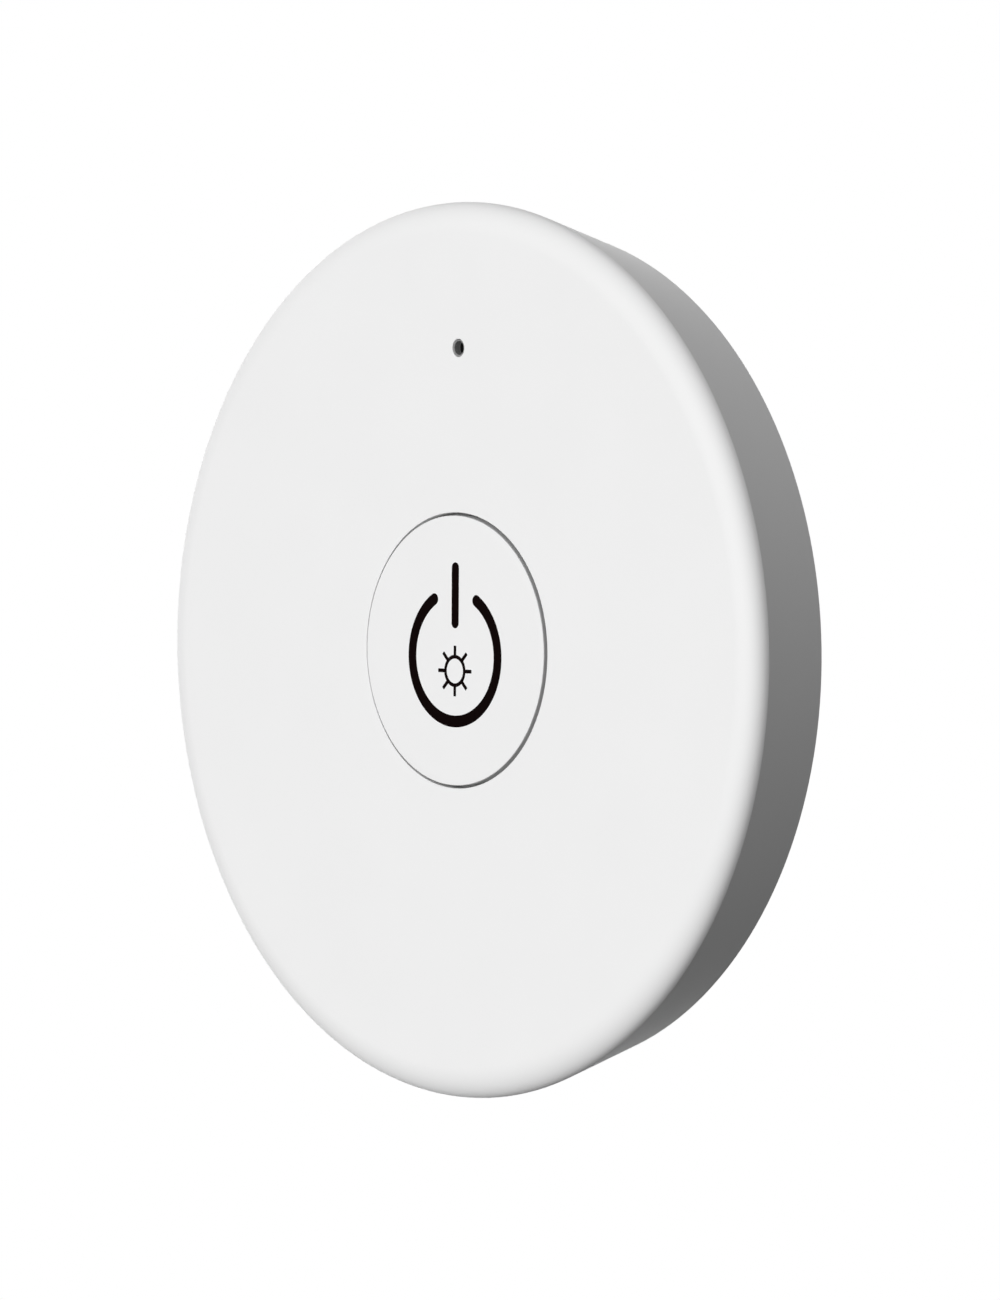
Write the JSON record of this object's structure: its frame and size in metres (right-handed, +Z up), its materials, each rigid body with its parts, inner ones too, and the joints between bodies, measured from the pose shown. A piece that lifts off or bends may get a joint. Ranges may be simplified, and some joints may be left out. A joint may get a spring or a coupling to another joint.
{
  "type": "wireless light remote",
  "caption": "Round flat wall remote with a sprung centre button, coin cell inside, and a bayonet back cover that sticks to a wall by a foam pad.",
  "frame": {"origin": "centre of the foam pad's rear face, which lies on the wall", "axes": "+Y into the wall, along the button's travel; the face looks along -Y; +Z up the wall, towards the indicator pinhole; +X to the right as a user sees the face"},
  "size_m": [0.064, 0.0092, 0.064],
  "materials": {
    "foam": "matte closed-cell foam tape",
    "cover_plastic": "plain moulded, matte",
    "shell_plastic": "fine matte texture, white",
    "button_plastic": "smooth matte, white",
    "board_laminate": "green solder mask, satin",
    "nickel": "nickel plated",
    "black_resin": "matte black moulding",
    "copper": "etched copper",
    "led_resin": "cloudy resin",
    "smoked_lens": "smoked clear plastic, looks black when unlit",
    "ceramic": "fired ceramic",
    "spring_steel": "stamped spring strip",
    "holder_plastic": "matte black moulding",
    "cell_steel": "fine brushed steel",
    "gasket_plastic": "matte sealing ring"
  },
  "bodies": {
    "wall_cover": {"wall_pad": "foam", "back_cover": "cover_plastic"},
    "front_unit": {"front_shell": "shell_plastic", "indicator_lens": "smoked_lens", "circuit_board": "board_laminate", "board_screw_1": "nickel", "board_screw_2": "nickel", "board_screw_3": "nickel", "controller_chip": "black_resin", "crystal": "nickel", "printed_antenna": "copper", "indicator_led": "led_resin", "capacitor_1": "ceramic", "capacitor_2": "ceramic", "capacitor_3": "ceramic", "capacitor_4": "ceramic", "resistor_1": "black_resin", "resistor_2": "black_resin", "resistor_3": "black_resin", "switch_base": "black_resin", "switch_dome": "spring_steel", "switch_frame": "spring_steel", "battery_holder": "holder_plastic", "battery_contact_positive": "spring_steel", "battery_contact_negative": "spring_steel", "cell_can": "cell_steel", "cell_gasket": "gasket_plastic", "cell_cap": "cell_steel"},
    "button": {"button_cap": "button_plastic"},
    "plunger": {"switch_plunger": "black_resin"}
  },
  "joints": [
    {"name": "unlock_turn", "type": "hinge", "parent": "wall_cover", "child": "front_unit", "pos_m": [0, 0, 0], "axis": [0, -1, 0], "range_deg": [0, 25]},
    {"name": "button_press", "type": "slide", "parent": "front_unit", "child": "button", "axis": [0, 1, 0], "range_m": [0, 0.00025], "stiffness_N_per_m": 1500, "springref_m": -0.0003},
    {"name": "plunger_press", "type": "slide", "parent": "front_unit", "child": "plunger", "axis": [0, 1, 0], "range_m": [0, 0.00025], "deforming": ["switch_dome"]}
  ],
  "couplings": [
    {"joint": "plunger_press", "follows": "button_press", "ratio": 1}
  ]
}
